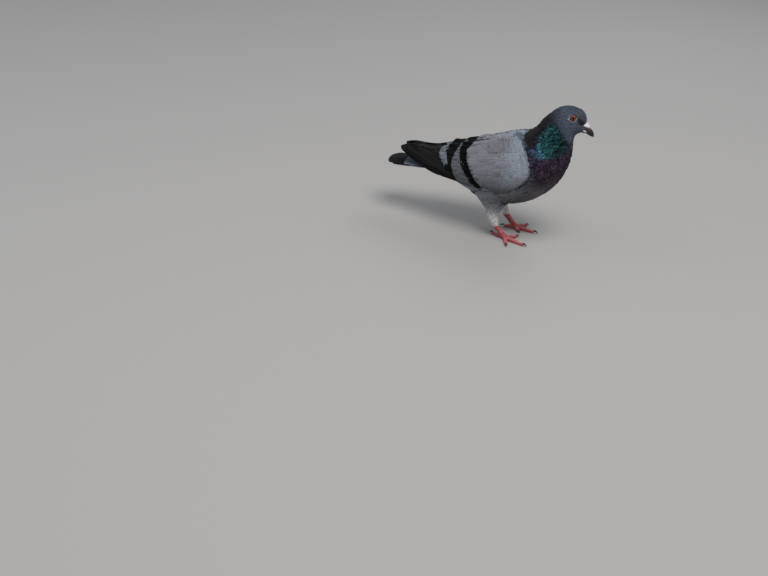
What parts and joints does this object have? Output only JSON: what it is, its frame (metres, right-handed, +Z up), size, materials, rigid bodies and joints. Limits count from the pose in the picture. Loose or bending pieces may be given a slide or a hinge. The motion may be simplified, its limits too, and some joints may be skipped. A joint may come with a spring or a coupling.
{
  "type": "standing pigeon figure",
  "caption": "Life-size still model of a blue-bar pigeon standing with folded wings, head up and feet apart on level soles.",
  "frame": {"origin": "middle of the bounding box's base, on the floor under the belly", "axes": "+X the way the bird faces, +Y its left side, +Z up"},
  "size_m": [0.2638, 0.09, 0.1838],
  "materials": {
    "slate_plumage": "soft slate-blue feathers",
    "neck_plumage": "glossy green and purple feathers",
    "grey_plumage": "soft grey feathers",
    "wing_plumage": "soft pale grey feathers with dark bars",
    "flight_plumage": "blackish flight feathers",
    "thigh_plumage": "downy pale grey feathers",
    "foot_scale": "scaly raspberry-red skin",
    "claw_horn": "smooth black horn",
    "bill_horn": "smooth dark horn",
    "cere_skin": "powdery whitish skin",
    "eye_orange": "wet and glossy"
  },
  "bodies": {
    "root": {"trunk": "grey_plumage", "neck": "neck_plumage", "head": "slate_plumage", "eye_right": "eye_orange", "eye_left": "eye_orange", "bill_upper": "bill_horn", "bill_lower": "bill_horn", "cere": "cere_skin", "wing_right": "wing_plumage", "wing_left": "wing_plumage", "primaries_right": "flight_plumage", "primaries_left": "flight_plumage", "tail": "flight_plumage", "thigh_right": "thigh_plumage", "thigh_left": "thigh_plumage", "shank_right": "foot_scale", "shank_left": "foot_scale", "foot_right": "foot_scale", "foot_left": "foot_scale", "claw_inner_right": "claw_horn", "claw_middle_right": "claw_horn", "claw_outer_right": "claw_horn", "claw_hind_right": "claw_horn", "claw_inner_left": "claw_horn", "claw_middle_left": "claw_horn", "claw_outer_left": "claw_horn", "claw_hind_left": "claw_horn"}
  },
  "joints": []
}
